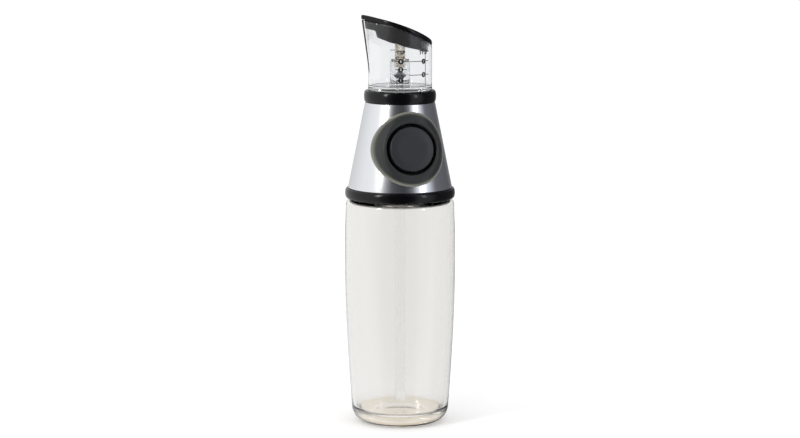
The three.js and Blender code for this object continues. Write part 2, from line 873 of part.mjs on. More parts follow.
function housingScrews() {
  const seat = collarFloorBottom - gap;
  const screw = rod(screwHeadRadius, seat - screwHeadHeight, seat)
    .add(rod(screwRadius, seat - screwHeadHeight / 2, seat + screwLength));
  atScrews(screw).forEach((solid, i) => addPart(`housing_screw_${i + 1}`, solid, steel));
}

glassBottle();
neckGasket();
screwInsert();
lowerCollar();
coneHousing();
upperCollar();
measuringCup();
cupSeal();
lid();
buttonCap();
plunger();
pistonSeal();
returnSpring();
buttonBezel();
buttonDiaphragm();
pumpBody();
inletSocket();
addPart('inlet_ball', ballAt(ballOnSeat(socketSeat())), steel);
dipTube();
riserTube();
nozzleCap();
addPart('outlet_ball', ballAt(ballOnSeat(outletSeat)), steel);
housingScrews();

export default parts;
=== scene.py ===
import math

import bmesh
import bpy
from mathutils import Matrix, Vector


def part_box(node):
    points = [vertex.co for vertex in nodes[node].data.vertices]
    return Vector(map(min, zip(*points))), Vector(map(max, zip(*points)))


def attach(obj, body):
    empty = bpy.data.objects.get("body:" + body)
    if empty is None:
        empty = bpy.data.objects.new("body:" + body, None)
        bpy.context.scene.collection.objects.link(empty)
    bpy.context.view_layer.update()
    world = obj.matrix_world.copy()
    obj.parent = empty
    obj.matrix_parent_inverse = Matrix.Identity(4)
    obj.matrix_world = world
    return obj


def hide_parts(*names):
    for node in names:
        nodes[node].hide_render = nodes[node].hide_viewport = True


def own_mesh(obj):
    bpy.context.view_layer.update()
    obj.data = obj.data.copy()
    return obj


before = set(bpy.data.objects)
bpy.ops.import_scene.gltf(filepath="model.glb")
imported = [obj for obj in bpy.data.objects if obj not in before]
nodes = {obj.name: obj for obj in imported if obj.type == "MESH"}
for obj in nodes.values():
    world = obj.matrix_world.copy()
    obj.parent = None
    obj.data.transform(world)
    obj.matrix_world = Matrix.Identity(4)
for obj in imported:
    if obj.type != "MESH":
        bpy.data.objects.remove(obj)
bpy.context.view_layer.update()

mm = 0.001
around = 144    # points round each large turned piece
noiseLow, noiseHigh = 0.3, 0.7    # nearly all values of a noise lie between these


def lowHigh(node):
    low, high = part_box(node)
    return low / mm, high / mm


# Colours and materials

def linear(hexColour):
    channels = [int(hexColour[i:i + 2], 16) / 255 for i in (0, 2, 4)]
    return [c / 12.92 if c <= 0.04045 else ((c + 0.055) / 1.055) ** 2.4 for c in channels] + [1]


def addObject(name, data):
    made = bpy.data.objects.new(name, data)
    bpy.context.scene.collection.objects.link(made)
    return made


def evaluated(holder):
    # The plain mesh of an object with its modifiers or its text worked out. The object goes.
    mesh = bpy.data.meshes.new_from_object(holder.evaluated_get(bpy.context.evaluated_depsgraph_get()))
    bpy.data.objects.remove(holder)
    return mesh


def addNode(tree, kind, inputs=None, links=None, **settings):
    made = tree.nodes.new(kind)
    for key, value in settings.items():
        setattr(made, key, value)
    for key, value in (inputs or {}).items():
        made.inputs[key].default_value = value
    for key, source in (links or {}).items():
        tree.links.new(source, made.inputs[key])
    return made


def newMaterial(name, colour, roughness, **sockets):
    made = bpy.data.materials.new(name)
    made.use_nodes = True
    shader = made.node_tree.nodes["Principled BSDF"]
    shader.inputs["Base Color"].default_value = linear(colour)
    shader.inputs["Roughness"].default_value = roughness
    for key, value in sockets.items():
        shader.inputs[key].default_value = value
    return made, made.node_tree, shader


def grainOf(tree, size, stretch=(1, 1, 1), detail=3):
    # Noise with a grain of so many millimetres, stretched along an axis where the making stretched it.
    place = addNode(tree, "ShaderNodeTexCoord").outputs["Object"]
    grains = [1 / (size * mm * share) for share in stretch]
    scaled = addNode(tree, "ShaderNodeMapping", {"Scale": grains}, {"Vector": place})
    return addNode(tree, "ShaderNodeTexNoise", {"Scale": 1, "Detail": detail}, {"Vector": scaled.outputs[0]})


def bumpFrom(tree, shader, height, depth):
    bump = addNode(tree, "ShaderNodeBump", {"Distance": depth * mm, "Strength": 1}, {"Height": height})
    tree.links.new(bump.outputs[0], shader.inputs["Normal"])


def varyRoughness(tree, shader, noise, low, high):
    # Lets the roughness wander between two values.
    ends = {"From Min": noiseLow, "From Max": noiseHigh, "To Min": low, "To Max": high}
    ramp = addNode(tree, "ShaderNodeMapRange", ends, {"Value": noise.outputs["Fac"]})
    tree.links.new(ramp.outputs[0], shader.inputs["Roughness"])


def blendColours(tree, shader, value, start, end, first, second):
    # Base colour that goes from one to another as a value, in millimetres, goes from start to end.
    ends = {"From Min": start * mm, "From Max": end * mm}
    ramp = addNode(tree, "ShaderNodeMapRange", ends, {"Value": value}, interpolation_type="SMOOTHSTEP")
    mix = addNode(tree, "ShaderNodeMix", {6: linear(first), 7: linear(second)}, {"Factor": ramp.outputs[0]},
                  data_type="RGBA")
    tree.links.new(mix.outputs[2], shader.inputs["Base Color"])


# Colours of the two materials that change over the piece, with heights or widths in millimetres
glassTint = {"body": "F7F6F4", "base": "D8CBB4", "baseEnds": 3, "bodyStarts": 12}
# the bezel's paler lip colour is painted glow, standing for light through the thin silicone edge
bezelColourAndGlow = {"face": "2A2C2C", "lip": "84847A", "glowWidth": 2.6}


def bottleGlass():
    # soda-lime glass, blown: a slow waviness bends what is seen through it
    made, tree, shader = newMaterial("blownSodaLimeGlass", glassTint["body"], 0.0, IOR=1.5)
    shader.inputs["Transmission Weight"].default_value = 1
    # the thick base takes on a warm tone, as deep glass does
    place = addNode(tree, "ShaderNodeTexCoord").outputs["Object"]
    parts = addNode(tree, "ShaderNodeSeparateXYZ", links={0: place})
    blendColours(tree, shader, parts.outputs["Z"], glassTint["baseEnds"], glassTint["bodyStarts"],
                 glassTint["base"], glassTint["body"])
    bumpFrom(tree, shader, grainOf(tree, 26, (1, 1, 2.4), 1).outputs["Fac"], 0.12)
    return made


def cupPlastic():
    # clear moulded styrene copolymer: bright, hard, with faint flow waves
    made, tree, shader = newMaterial("clearMouldedStyrene", "FAFBFC", 0.02, IOR=1.5)
    shader.inputs["Transmission Weight"].default_value = 1
    bumpFrom(tree, shader, grainOf(tree, 14, (1, 1, 2), 1).outputs["Fac"], 0.03)
    return made


def tubePlastic():
    # extruded polyethylene tube: thin, hazy, softens what is behind it
    made, tree, shader = newMaterial("hazyPolyethyleneTube", "FFFFFF", 0.12, IOR=1.14)
    shader.inputs["Transmission Weight"].default_value = 1
    bumpFrom(tree, shader, grainOf(tree, 5, (1, 1, 12), 1).outputs["Fac"], 0.006)
    return made


def blackPlastic():
    # black ABS from a polished mould: deep gloss with a soft-edged highlight
    made, tree, shader = newMaterial("polishedBlackAbs", "060608", 0.2)
    shader.inputs["Specular IOR Level"].default_value = 0.3
    grain = grainOf(tree, 2.5)
    varyRoughness(tree, shader, grain, 0.13, 0.19)
    bumpFrom(tree, shader, grainOf(tree, 9, (1, 1, 1), 1).outputs["Fac"], 0.02)
    return made


def silverShell():
    # ABS shell, metallised and satin lacquered: broad soft bands, with faint upright polishing lines
    made, tree, shader = newMaterial("satinMetallisedShell", "E4E6EA", 0.27, Metallic=1)
    lines = grainOf(tree, 0.7, (1, 1, 60))
    varyRoughness(tree, shader, lines, 0.2, 0.23)
    bumpFrom(tree, shader, lines.outputs["Fac"], 0.0008)
    return made


def bezelSilicone(centre, axis, radius):
    # translucent grey silicone: its thin outer lip is painted paler and warmer, a painted glow for the light
    # through it; its face has a soft bloom
    made, tree, shader = newMaterial("translucentGreySilicone", bezelColourAndGlow["face"], 0.48, IOR=1.41)
    shader.inputs["Subsurface Weight"].default_value = 0.25
    shader.inputs["Subsurface Radius"].default_value = (0.9, 0.9, 0.8)
    shader.inputs["Subsurface Scale"].default_value = 2 * mm
    place = addNode(tree, "ShaderNodeTexCoord").outputs["Object"]
    out = addNode(tree, "ShaderNodeVectorMath", links={0: place}, operation="SUBTRACT")
    out.inputs[1].default_value = centre
    across = addNode(tree, "ShaderNodeVectorMath", links={0: out.outputs[0]}, operation="CROSS_PRODUCT")
    across.inputs[1].default_value = axis
    reach = addNode(tree, "ShaderNodeVectorMath", links={0: across.outputs[0]}, operation="LENGTH")
    # painted glow: the base colour turns paler and warmer across the outer lip's last few millimetres
    blendColours(tree, shader, reach.outputs["Value"], radius - bezelColourAndGlow["glowWidth"], radius,
                 bezelColourAndGlow["face"], bezelColourAndGlow["lip"])
    bumpFrom(tree, shader, grainOf(tree, 0.8).outputs["Fac"], 0.01)
    return made


def buttonPlastic():
    # dark grey ABS with a fine spark-eroded texture: an even satin sheen
    made, tree, shader = newMaterial("satinDarkGreyAbs", "26272B", 0.36)
    grain = grainOf(tree, 0.5)
    varyRoughness(tree, shader, grain, 0.33, 0.42)
    bumpFrom(tree, shader, grain.outputs["Fac"], 0.008)
    return made


def plainMaterial(name, colour, roughness, grain, depth, **sockets):
    made, tree, shader = newMaterial(name, colour, roughness, **sockets)
    bumpFrom(tree, shader, grainOf(tree, grain).outputs["Fac"], depth)
    return made


# Meshes

def meshFromRows(name, rows, closed):
    # Joins rows of points into a skin. A row of one point is a pole.
    # A closed skin joins its last row to its first.
    points = [p for row in rows for p in row]
    starts = [sum(len(r) for r in rows[:i]) for i in range(len(rows))]
    faces = []
    pairs = [(i, i + 1) for i in range(len(rows) - 1)]
    if closed:
        pairs.append((len(rows) - 1, 0))
    for a, b in pairs:
        n = max(len(rows[a]), len(rows[b]))
        for j in range(n):
            k = (j + 1) % n
            lower = [starts[a] + j, starts[a] + k] if len(rows[a]) > 1 else [starts[a]]
            upper = [starts[b] + k, starts[b] + j] if len(rows[b]) > 1 else [starts[b]]
            faces.append(lower + upper)
    mesh = bpy.data.meshes.new(name)
    mesh.from_pydata([[c * mm for c in p] for p in points], [], faces)
    cleanMesh(mesh)
    return mesh


def cleanMesh(mesh):
    # Merges the doubled points and turns every face outwards.
    work = bmesh.new()
    work.from_mesh(mesh)
    bmesh.ops.remove_doubles(work, verts=work.verts, dist=2e-7)
    bmesh.ops.recalc_face_normals(work, faces=work.faces)
    if work.calc_volume(signed=True) < 0:
        bmesh.ops.reverse_faces(work, faces=work.faces)
    work.to_mesh(mesh)
    work.free()


def turned(name, profile, steps=around, closed=True):
    # Turns [radius, height] points in millimetres about the Z axis.
    rows = []
    for radius, height in profile:
        if radius < 1e-6:
            rows.append([(0, 0, height)])
            continue
        angles = [2 * math.pi * j / steps for j in range(steps)]
        rows.append([(radius * math.cos(a), radius * math.sin(a), height) for a in angles])
    return meshFromRows(name, rows, closed)


def rounded(corners, steps=5):
    # Rounds each [radius, height, fillet] corner of a closed outline.
    points = []
    for i, (r, h, fillet) in enumerate(corners):
        here = Vector((r, h))
        before = Vector(corners[i - 1][:2]) - here
        after = Vector(corners[(i + 1) % len(corners)][:2]) - here
        cut = min(fillet, before.length * 0.48, after.length * 0.48)
        if cut < 0.01:
            points.append((r, h))
            continue
        a, b = here + before.normalized() * cut, here + after.normalized() * cut
        for step in range(steps + 1):
            t = step / steps
            p = a * (1 - t) ** 2 + here * 2 * t * (1 - t) + b * t ** 2
            points.append((p.x, p.y))
    return points


def arcPoints(centre, radius, start, end, steps):
    angles = [math.radians(start + (end - start) * i / steps) for i in range(steps + 1)]
    return [(centre[0] + radius * math.cos(a), centre[1] + radius * math.sin(a)) for a in angles]


def finished(name, mesh, material, body, replaced=(), sharp=35):
    # Makes the piece from its mesh, smooth but for its sharp edges, and hangs it on its body.
    piece = addObject(name, mesh)
    mesh.materials.clear()
    mesh.materials.append(material)
    mesh.shade_smooth()
    mesh.set_sharp_from_angle(angle=math.radians(sharp))
    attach(piece, body)
    if replaced:
        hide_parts(*replaced)
    return piece


def cutWith(mesh, cutter):
    # Cuts one mesh out of another and returns the result as a plain mesh.
    base, tool = addObject("base", mesh), addObject("tool", cutter)
    boolean = base.modifiers.new("cut", "BOOLEAN")
    boolean.object = tool
    boolean.operation = "DIFFERENCE"
    boolean.solver = "EXACT"
    result = evaluated(base)
    bpy.data.objects.remove(tool)
    return result


# The camera stands where the photograph was taken: degrees, millimetres, and pixels for the focal length
cameraAt = {"azimuth": -15, "distance": 1700, "height": 400, "pitch": 8.51, "focal": 2418, "frameWidth": 800}


def makeCamera():
    data = bpy.data.cameras.new("camera")
    data.lens = cameraAt["focal"] / cameraAt["frameWidth"] * data.sensor_width
    camera = addObject("camera", data)
    turn = math.radians(cameraAt["azimuth"])
    reach = cameraAt["distance"] * mm
    camera.location = (math.sin(turn) * reach, -math.cos(turn) * reach, cameraAt["height"] * mm)
    camera.rotation_euler = (math.radians(90 - cameraAt["pitch"]), 0, turn)
    data.clip_end = 100
    bpy.context.scene.camera = camera


makeCamera()
print("camera placed")

glass = bottleGlass()
clearCup = cupPlastic()
tubeHaze = tubePlastic()
black = blackPlastic()
silver = silverShell()
darkGrey = buttonPlastic()
# moulded polypropylene, natural: milky and slightly waxy
natural = plainMaterial("naturalPolypropylene", "E4E2DA", 0.42, 1.5, 0.01)
# clear styrene with a warm cast: the outlet reads as pale beige inside the cup
clearNozzle = plainMaterial("warmClearStyrene", "EDE6DB", 0.12, 2, 0.02)
clearNozzle.node_tree.nodes["Principled BSDF"].inputs["Transmission Weight"].default_value = 0.92
# nitrile rubber: dull black with almost no sheen
nitrile = plainMaterial("blackNitrile", "0C0C0C", 0.72, 0.6, 0.02)
# milky silicone: soft translucent seals
milky = plainMaterial("milkySilicone", "D6D8D3", 0.4, 1.0, 0.01)
# drawn spring steel: bright with fine draw marks
steel = plainMaterial("drawnSteel", "B9BCC0", 0.26, 0.5, 0.003, Metallic=1)
# screen-printed ink: flat, slightly raised, dull
blackInk = plainMaterial("blackPrintInk", "101010", 0.6, 0.3, 0.004)
whiteInk = plainMaterial("whitePrintInk", "F2F2F0", 0.6, 0.3, 0.004)


# Glass bottle
bottle = {
    "radius": 39.05, "heel": 11.1, "foot": 23.4, "footInner": 17.5, "pushUp": 2,
    "shoulder": 38.5, "shoulderStart": 156.5, "shoulderFillet": 4.5, "shoulderRise": 1.2,
    "wall": 2.8, "base": 9.7, "floorFillet": 2.6, "neck": 22.5, "neckWall": 3, "neckTop": 173,
    "neckFillet": 2.2, "widestFrom": 105, "widestTo": 136, "lip": 0.9,
    "threadDepth": 1.5, "threadHalfWidth": 1.25, "threadTurns": 1.4, "threadStart": 7.6, "pitch": 4,
}


def bezier(a, b, c, d, steps):
    a, b, c, d = (Vector(p) for p in (a, b, c, d))
    points = []
    for i in range(steps + 1):
        t = i / steps
        s = 1 - t
        points.append(tuple(a * s ** 3 + b * 3 * t * s ** 2 + c * 3 * t * t * s + d * t ** 3))
    return points


def bottleSide(inset):
    b = bottle
    heelTop = (b["foot"] + b["heel"] - inset, b["heel"])
    widest = b["radius"] - inset
    shoulder = (b["shoulder"] - inset, b["shoulderStart"])
    belly = bezier(heelTop, (heelTop[0] + 1.7, b["heel"] + 22), (widest, b["widestFrom"] - 30),
                   (widest, b["widestFrom"]), 18)
    upper = bezier((widest, b["widestTo"]), (widest, b["widestTo"] + 7), (shoulder[0], shoulder[1] - 7),
                   shoulder, 6)
    return belly + upper


def threadRise(height, angle):
    # How far the neck's helical thread stands out at one place. It fades in and out at its ends.
    b = bottle
    start, turns = b["neckTop"] - b["threadStart"], b["threadTurns"]
    rise = 0
    for lap in range(3):
        along = angle / (2 * math.pi) + lap
        if 0 <= along <= turns:
            distance = abs(height - start - along * b["pitch"])
            fade = min(1, along * 10, (turns - along) * 10)
            rise = max(rise, fade * b["threadDepth"] * max(0, 1 - (distance / b["threadHalfWidth"]) ** 2))
    return rise


def makeBottle():
    b = bottle
    top = b["shoulderStart"] + b["shoulderFillet"]
    neckFoot = top + b["shoulderRise"]
    bore = b["neck"] - b["neckWall"]
    centre = (b["shoulder"] - b["shoulderFillet"], b["shoulderStart"])
    dome = [(0, 1), (0.3, 0.97), (0.6, 0.8), (0.85, 0.4)]
    outer = [(b["footInner"] * out, b["pushUp"] * rise) for out, rise in dome]
    outer += [(b["footInner"] - 0.4, 0.1), (b["footInner"] + 0.6, 0)]
    outer += arcPoints((b["foot"], b["heel"]), b["heel"], -90, 0, 16)
    outer += bottleSide(0)[1:-1]
    outer += arcPoints(centre, b["shoulderFillet"], 0, 90, 8)
    neckStart = neckFoot + b["neckFillet"]
    outer += arcPoints((b["neck"] + b["neckFillet"], neckStart), b["neckFillet"], -90, -180, 6)
    neckRows = 26
    lipFoot = b["neckTop"] - b["lip"]
    neck = [(b["neck"], neckStart + (lipFoot - neckStart) * i / neckRows) for i in range(1, neckRows + 1)]
    lip = arcPoints((b["neck"] - b["lip"], lipFoot), b["lip"], 10, 90, 4)
    inner = arcPoints((bore + b["lip"], lipFoot), b["lip"], 90, 180, 4)
    wallFillet = b["shoulderFillet"] - b["wall"]
    inner += rounded([(bore, b["neckTop"] - 3, 0), (bore, neckFoot - b["shoulderRise"] - 0.5, 3),
                      (bore + 5, top - b["wall"] + 0.4, 3), (centre[0] - 1, top - b["wall"], 0)])
    inner += arcPoints(centre, wallFillet, 90, 0, 6)
    inner += bottleSide(b["wall"])[::-1][1:-1]
    floor = (b["foot"] + b["heel"] - b["wall"] - b["floorFillet"], b["base"] + b["floorFillet"])
    inner += arcPoints(floor, b["floorFillet"], 0, -90, 8)
    inner += [(floor[0] * 0.6, b["base"] - 0.25), (floor[0] * 0.3, b["base"] - 0.4), (0, b["base"] - 0.45)]
    rows = []
    for radius, height in outer + neck + lip + inner:
        if radius < 1e-6:
            rows.append([(0, 0, height)])
            continue
        row = []
        onNeck = (radius, height) in neck
        for j in range(around):
            angle = 2 * math.pi * j / around
            reach = radius + (threadRise(height, angle) if onNeck else 0)
            row.append((reach * math.cos(angle), reach * math.sin(angle), height))
        rows.append(row)
    mesh = meshFromRows("bottle_glass", rows, False)
    finished("bottle_glass", mesh, glass, "bottle", ["glass_bottle"], 50)


makeBottle()
print("bottle blown")


# Collars
collars = {
    "lower": {"inner": 33.9, "foot": 37.3, "widest": 39.0, "rim": 37.2, "ledge": 27.2, "ledgeFrom": 2.4,
              "ledgeTo": 4.7},
    "upper": {"inner": 14.9, "foot": 24.5, "widest": 25.5, "rim": 23.6, "seat": 17.5, "seatDepth": 1.6,
              "spigot": 15.7, "spigotLength": 5},
}


def swollenSide(sizes, bottom, top, steps=20):
    # Outer side of a moulded ring that swells between two soft edges.
    points = []
    for i in range(steps + 1):
        angle = (i / steps - 0.5) * math.pi
        share = (1 + math.sin(angle)) / 2
        edge = sizes["foot"] + (sizes["rim"] - sizes["foot"]) * share
        radius = edge + (sizes["widest"] - edge) * math.cos(angle) ** 0.7
        points.append((radius, bottom + (top - bottom) * share))
    return points


def makeLowerCollar():
    sizes = collars["lower"]
    low, high = lowHigh("lower_collar")
    ledgeLow, ledgeHigh = low.z + sizes["ledgeFrom"], low.z + sizes["ledgeTo"]
    inside = [(sizes["inner"], high.z), (sizes["inner"], ledgeHigh), (sizes["ledge"], ledgeHigh),
              (sizes["ledge"], ledgeLow), (sizes["inner"], ledgeLow), (sizes["inner"], low.z)]
    mesh = turned("collar_lower", swollenSide(sizes, low.z, high.z) + inside)
    finished("collar_lower", mesh, black, "head", ["lower_collar"])


def makeUpperCollar():
    sizes = collars["upper"]
    low, high = lowHigh("upper_collar")
    shelf, seat = low.z + sizes["spigotLength"], high.z - sizes["seatDepth"]
    inside = [(sizes["seat"], high.z), (sizes["seat"], seat), (sizes["inner"], seat),
              (sizes["inner"], low.z), (sizes["spigot"], low.z), (sizes["spigot"], shelf)]
    mesh = turned("collar_upper", swollenSide(sizes, shelf, high.z) + inside)
    finished("collar_upper", mesh, black, "head", ["upper_collar"])


makeLowerCollar()
makeUpperCollar()
print("collars made")


# Conical housing and the frame of the side button
cone = {"halfAngle": math.radians(11.35), "bottomRadius": 36.9, "wall": 2, "topHole": 16, "topPlate": 2}
button = {
    "height": 199, "radius": 15.6, "proud": 2.2, "skirt": 6, "wall": 1.6, "edge": 1.1,
    "bezel": 26.2, "bezelInner": 17.9, "bezelProud": 1.9, "bezelInnerProud": 1.0, "sleeve": 1.5,
    "sleeveDepth": 6.5, "hole": 19.7, "holeDepth": 16, "capThickness": 2.2,
    "collarInner": 3.7, "collarOuter": 5.1, "collarDepth": 3,
    "foldGap": 0.3, "foldHeight": 2.7, "foldWall": 0.4, "foldFloor": 0.8,
}
coneLow, coneHigh = lowHigh("cone_housing")


def coneRadius(height):
    return cone["bottomRadius"] - (height - coneLow.z) * math.tan(cone["halfAngle"])


buttonReach = coneRadius(button["height"])
buttonAxis = Vector((0, -math.cos(cone["halfAngle"]), math.sin(cone["halfAngle"])))
buttonUp = Vector((0, math.sin(cone["halfAngle"]), math.cos(cone["halfAngle"])))
buttonCentre = Vector((0, -buttonReach, button["height"]))
buttonPlace = Matrix((
    (1, 0, 0, 0),
    (0, buttonUp.y, buttonAxis.y, buttonCentre.y * mm),
    (0, buttonUp.z, buttonAxis.z, buttonCentre.z * mm),
    (0, 0, 0, 1),
))


def coneSurface(x, y):
    # Height of the cone's side over the button's base plane, negative where the cone falls away.
    reach = buttonReach - y * math.sin(cone["halfAngle"])
    double = math.cos(2 * cone["halfAngle"])
    return math.cos(cone["halfAngle"]) * (math.sqrt(reach * reach - x * x * double) - reach) / double


def makeHousing():
    top = coneHigh.z
    under = top - cone["topPlate"]
    innerBottom = cone["bottomRadius"] - cone["wall"]
    profile = rounded([
        (innerBottom, coneLow.z, 0.3), (cone["bottomRadius"], coneLow.z, 0.4), (coneRadius(top), top, 0.5),
        (cone["topHole"], top, 0.3), (cone["topHole"], under, 0.3),
        (coneRadius(under) - cone["wall"], under, 0.8),
    ], 4)
    shell = turned("housing", profile, 192)
    radius, depth = button["hole"], button["holeDepth"]
    hole = turned("hole", [(0, -depth), (radius, -depth), (radius, depth), (0, depth)], 96, False)
    hole.transform(buttonPlace)
    mesh = cutWith(shell, hole)
    finished("silver_housing", mesh, silver, "head", ["cone_housing"], 30)


makeHousing()
print("housing spun")


# Side button: soft bezel ring, dark groove and pressed cap
def makeBezel():
    b = button
    sleeveOuter = b["bezelInner"] + b["sleeve"]
    crest = b["bezelInner"] + 1.0
    count = 192
    columns = []
    for i in range(count):
        angle = i * 2 * math.pi / count
        c, s = math.cos(angle), math.sin(angle)

        def over(radius, lift):
            return radius, coneSurface(radius * c, radius * s) + lift

        lip = over(b["bezel"] - 1.0, b["bezelProud"])
        section = [(b["bezelInner"], b["bezelInnerProud"] - 1.3)]
        section += [(b["bezelInner"] + 1.0 - math.cos(math.radians(t)),
                     b["bezelInnerProud"] - 1.0 + math.sin(math.radians(t))) for t in (0, 22, 45, 68)]
        for share in [1 - k / 14 for k in range(14)]:
            section.append((lip[0] + (crest - lip[0]) * share,
                            lip[1] + (b["bezelInnerProud"] - lip[1]) * math.sin(share * math.pi / 2)))
        section.append(lip)
        rimFoot = over(b["bezel"] - 0.25, 0.3)
        for t in (20, 45, 70, 90):
            turn = math.radians(t)
            fall = 0.95 * (1 - math.cos(turn))
            section.append(over(b["bezel"] - 1.0 + math.sin(turn), b["bezelProud"] - fall))
        section += [rimFoot, over((sleeveOuter + b["bezel"]) / 2, 0.3), over(sleeveOuter, 0.3),
                    (sleeveOuter, -b["sleeveDepth"]), (b["bezelInner"], -b["sleeveDepth"])]
        columns.append([(radius * c, radius * s, height) for radius, height in section])
    rows = [[column[k] for column in columns] for k in range(len(columns[0]))]
    mesh = meshFromRows("bezel", rows, True)
    mesh.transform(buttonPlace)
    cleanMesh(mesh)
    grey = bezelSilicone(buttonCentre * mm, buttonAxis, b["bezel"])
    finished("bezel_ring", mesh, grey, "head", ["button_bezel"], 60)


def makeButtonCap():
    b = button
    under = b["proud"] - b["capThickness"]
    foot = under - b["collarDepth"]
    profile = rounded([
        (b["collarInner"], under, 0), (b["collarInner"], foot, 0.2), (b["collarOuter"], foot, 0.2),
        (b["collarOuter"], under, 0.3),
        (b["radius"] - b["wall"], under, 0.6), (b["radius"] - b["wall"], -b["skirt"], 0.2),
        (b["radius"], -b["skirt"], 0.3), (b["radius"], b["proud"], b["edge"]),
    ], 6)
    face = [(b["radius"] * share, b["proud"]) for share in (0.85, 0.6, 0.3)] + [(0, b["proud"])]
    mesh = turned("cap", [(0, under)] + profile + face, 128, False)
    mesh.transform(buttonPlace)
    cleanMesh(mesh)
    finished("button_face", mesh, darkGrey, "button", ["button_cap"], 40)


def makeDiaphragm():
    inner, outer = button["radius"] + button["foldGap"], button["bezelInner"] - button["foldGap"]
    bottom, wall = -button["sleeveDepth"], button["foldWall"]
    top, floor = bottom + button["foldHeight"], bottom + button["foldFloor"]
    profile = rounded([
        (inner, bottom, 0.6), (outer, bottom, 0.6), (outer, top, 0.1), (outer - wall, top, 0.1),
        (outer - wall, floor, 0.5), (inner + wall, floor, 0.5), (inner + wall, top, 0.1), (inner, top, 0.1),
    ], 4)
    mesh = turned("fold", profile, 96)
    mesh.transform(buttonPlace)
    cleanMesh(mesh)
    finished("groove_fold", mesh, nitrile, "head", ["button_diaphragm"])


makeBezel()
makeButtonCap()
makeDiaphragm()
print("button fitted")


# Measuring cup, its lid and the outlet
cup = {
    "gap": 0.3, "radius": 22.6, "wall": 2, "floor": 3, "spigot": 14.6, "spigotWall": 2, "spigotDepth": 5.5,
    "stub": 3.6, "stubDepth": 9.5, "column": 7, "columnTop": 258, "socket": 4.3, "cage": 3.4,
    "cageHeight": 2.5, "bore": 1.8, "seat": 246, "reach": 29.2, "spoutStart": 250.5, "tipSoftness": 0.035,
}
rim = {"arc": 158, "front": 291.5, "back": 272.3}
lid = {
    "thickness": 3.2, "edge": 1.35, "skirt": 10.3, "skirtBack": 4.6, "skirtWall": 1.6, "beadAt": 4.9,
    "bead": 1.3, "beadProud": 0.5, "openTop": 40, "openBottom": 56,
    "plugDepth": 6, "plugSetback": 1, "plugHalfAngle": 24, "plugSink": 0.4,
}


def arcCentre():
    front, back = Vector((-cup["reach"], rim["front"])), Vector((cup["radius"], rim["back"]))
    chord = back - front
    drop = math.sqrt(rim["arc"] ** 2 - (chord.length / 2) ** 2)
    return (front + back) / 2 + Vector((chord.y, -chord.x)).normalized() * drop


rimCentre = arcCentre()


def rimHeight(x, inset):
    return rimCentre.y + math.sqrt((rim["arc"] - inset) ** 2 - (x - rimCentre.x) ** 2)


def outline(radius, height, away):
    # Reach of the cup's outline at one height, an angle away from the spout.
    # The beak is tangent to the round.
    slope = (cup["reach"] - cup["radius"]) / (rim["front"] - cup["spoutStart"])
    tip = radius + max(0.0, height - cup["spoutStart"]) * slope
    half = math.acos(radius / tip)
    soft = math.sqrt(away * away + cup["tipSoftness"] ** 2)
    return radius / math.cos(half - soft) if soft < half else radius


def rimOver(radius, away, inset):
    # Reach and height where the wall of one radius meets the rim's arc.
    height = rim["back"]
    for _ in range(6):
        reach = outline(radius, height, away)
        height = rimHeight(-reach * math.cos(away), inset)
    return reach, height


def awayAngles(count):
    return [-math.pi + 2 * math.pi * j / count for j in range(count)]


def placed(reach, away, height):
    return (-reach * math.cos(away), reach * math.sin(away), height)


def wallRows(radius, bottom, inset, steps, count):
    rows = []
    for i in range(steps + 1):
        row = []
        for away in awayAngles(count):
            height = bottom + (rimOver(radius, away, inset)[1] - bottom) * i / steps
            row.append(placed(outline(radius, height, away), away, height))
        rows.append(row)
    return rows


def roundRow(radius, height, count):
    return [placed(radius, away, height) for away in awayAngles(count)]


def makeCup():
    count = 180
    c = cup
    bottom = lowHigh("upper_collar")[1].z + c["gap"]
    floor, under = bottom + c["floor"], bottom - 1
    stubEnd, spigotEnd = bottom - c["stubDepth"], bottom - c["spigotDepth"]
    spigotInner, bore = c["spigot"] - c["spigotWall"], c["radius"] - c["wall"]
    inset = lid["thickness"] + c["gap"]
    rows = [roundRow(r, h, count) for r, h in rounded([
        (c["stub"], stubEnd, 0.2), (c["stub"], under, 0.3), (spigotInner, under, 0.3),
        (spigotInner, spigotEnd, 0.2), (c["spigot"], spigotEnd, 0.3), (c["spigot"], bottom, 0.3),
        (c["radius"], bottom, 0.4), (c["radius"], bottom + 1.2, 0),
    ], 3)[1:]]
    rows += wallRows(c["radius"], bottom + 1.2, inset + 0.25, 30, count)
    for inwards in (0.35, c["wall"] - 0.35):
        row = []
        for away in awayAngles(count):
            reach, height = rimOver(c["radius"] - inwards, away, inset)
            row.append(placed(reach, away, height))
        rows.append(row)
    rows += wallRows(bore, floor + 1.4, inset + 0.25, 30, count)[::-1]
    cageTop = c["seat"] + c["cageHeight"]
    rows += [roundRow(r, h, count) for r, h in rounded([
        (bore, floor + 1.4, 0), (bore, floor, 1.3), (c["column"], floor, 1.2),
        (c["column"], c["columnTop"], 0.4), (c["socket"], c["columnTop"], 0.3), (c["socket"], cageTop, 0.2),
        (c["cage"], cageTop, 0.1), (c["bore"], c["seat"], 0.2), (c["bore"], stubEnd, 0.2),
        (c["stub"], stubEnd, 0),
    ], 4)[1:]]
    mesh = meshFromRows("cup", rows, True)
    finished("cup_clear", mesh, clearCup, "head", ["measuring_cup"], 45)


def skirtShare(away):
    # How much of the lid's skirt is there. It is cut back on a slant at the spout.
    start, end = math.radians(lid["openTop"]), math.radians(lid["openBottom"])
    return min(1, max(0, (abs(away) - start) / (end - start)))


def skirtDepth(away):
    # The skirt is deep towards the spout and gets shallower to the back.
    back = max(0, (0.2 - math.cos(away)) / 1.2) ** 1.5
    return lid["skirt"] + (lid["skirtBack"] - lid["skirt"]) * back


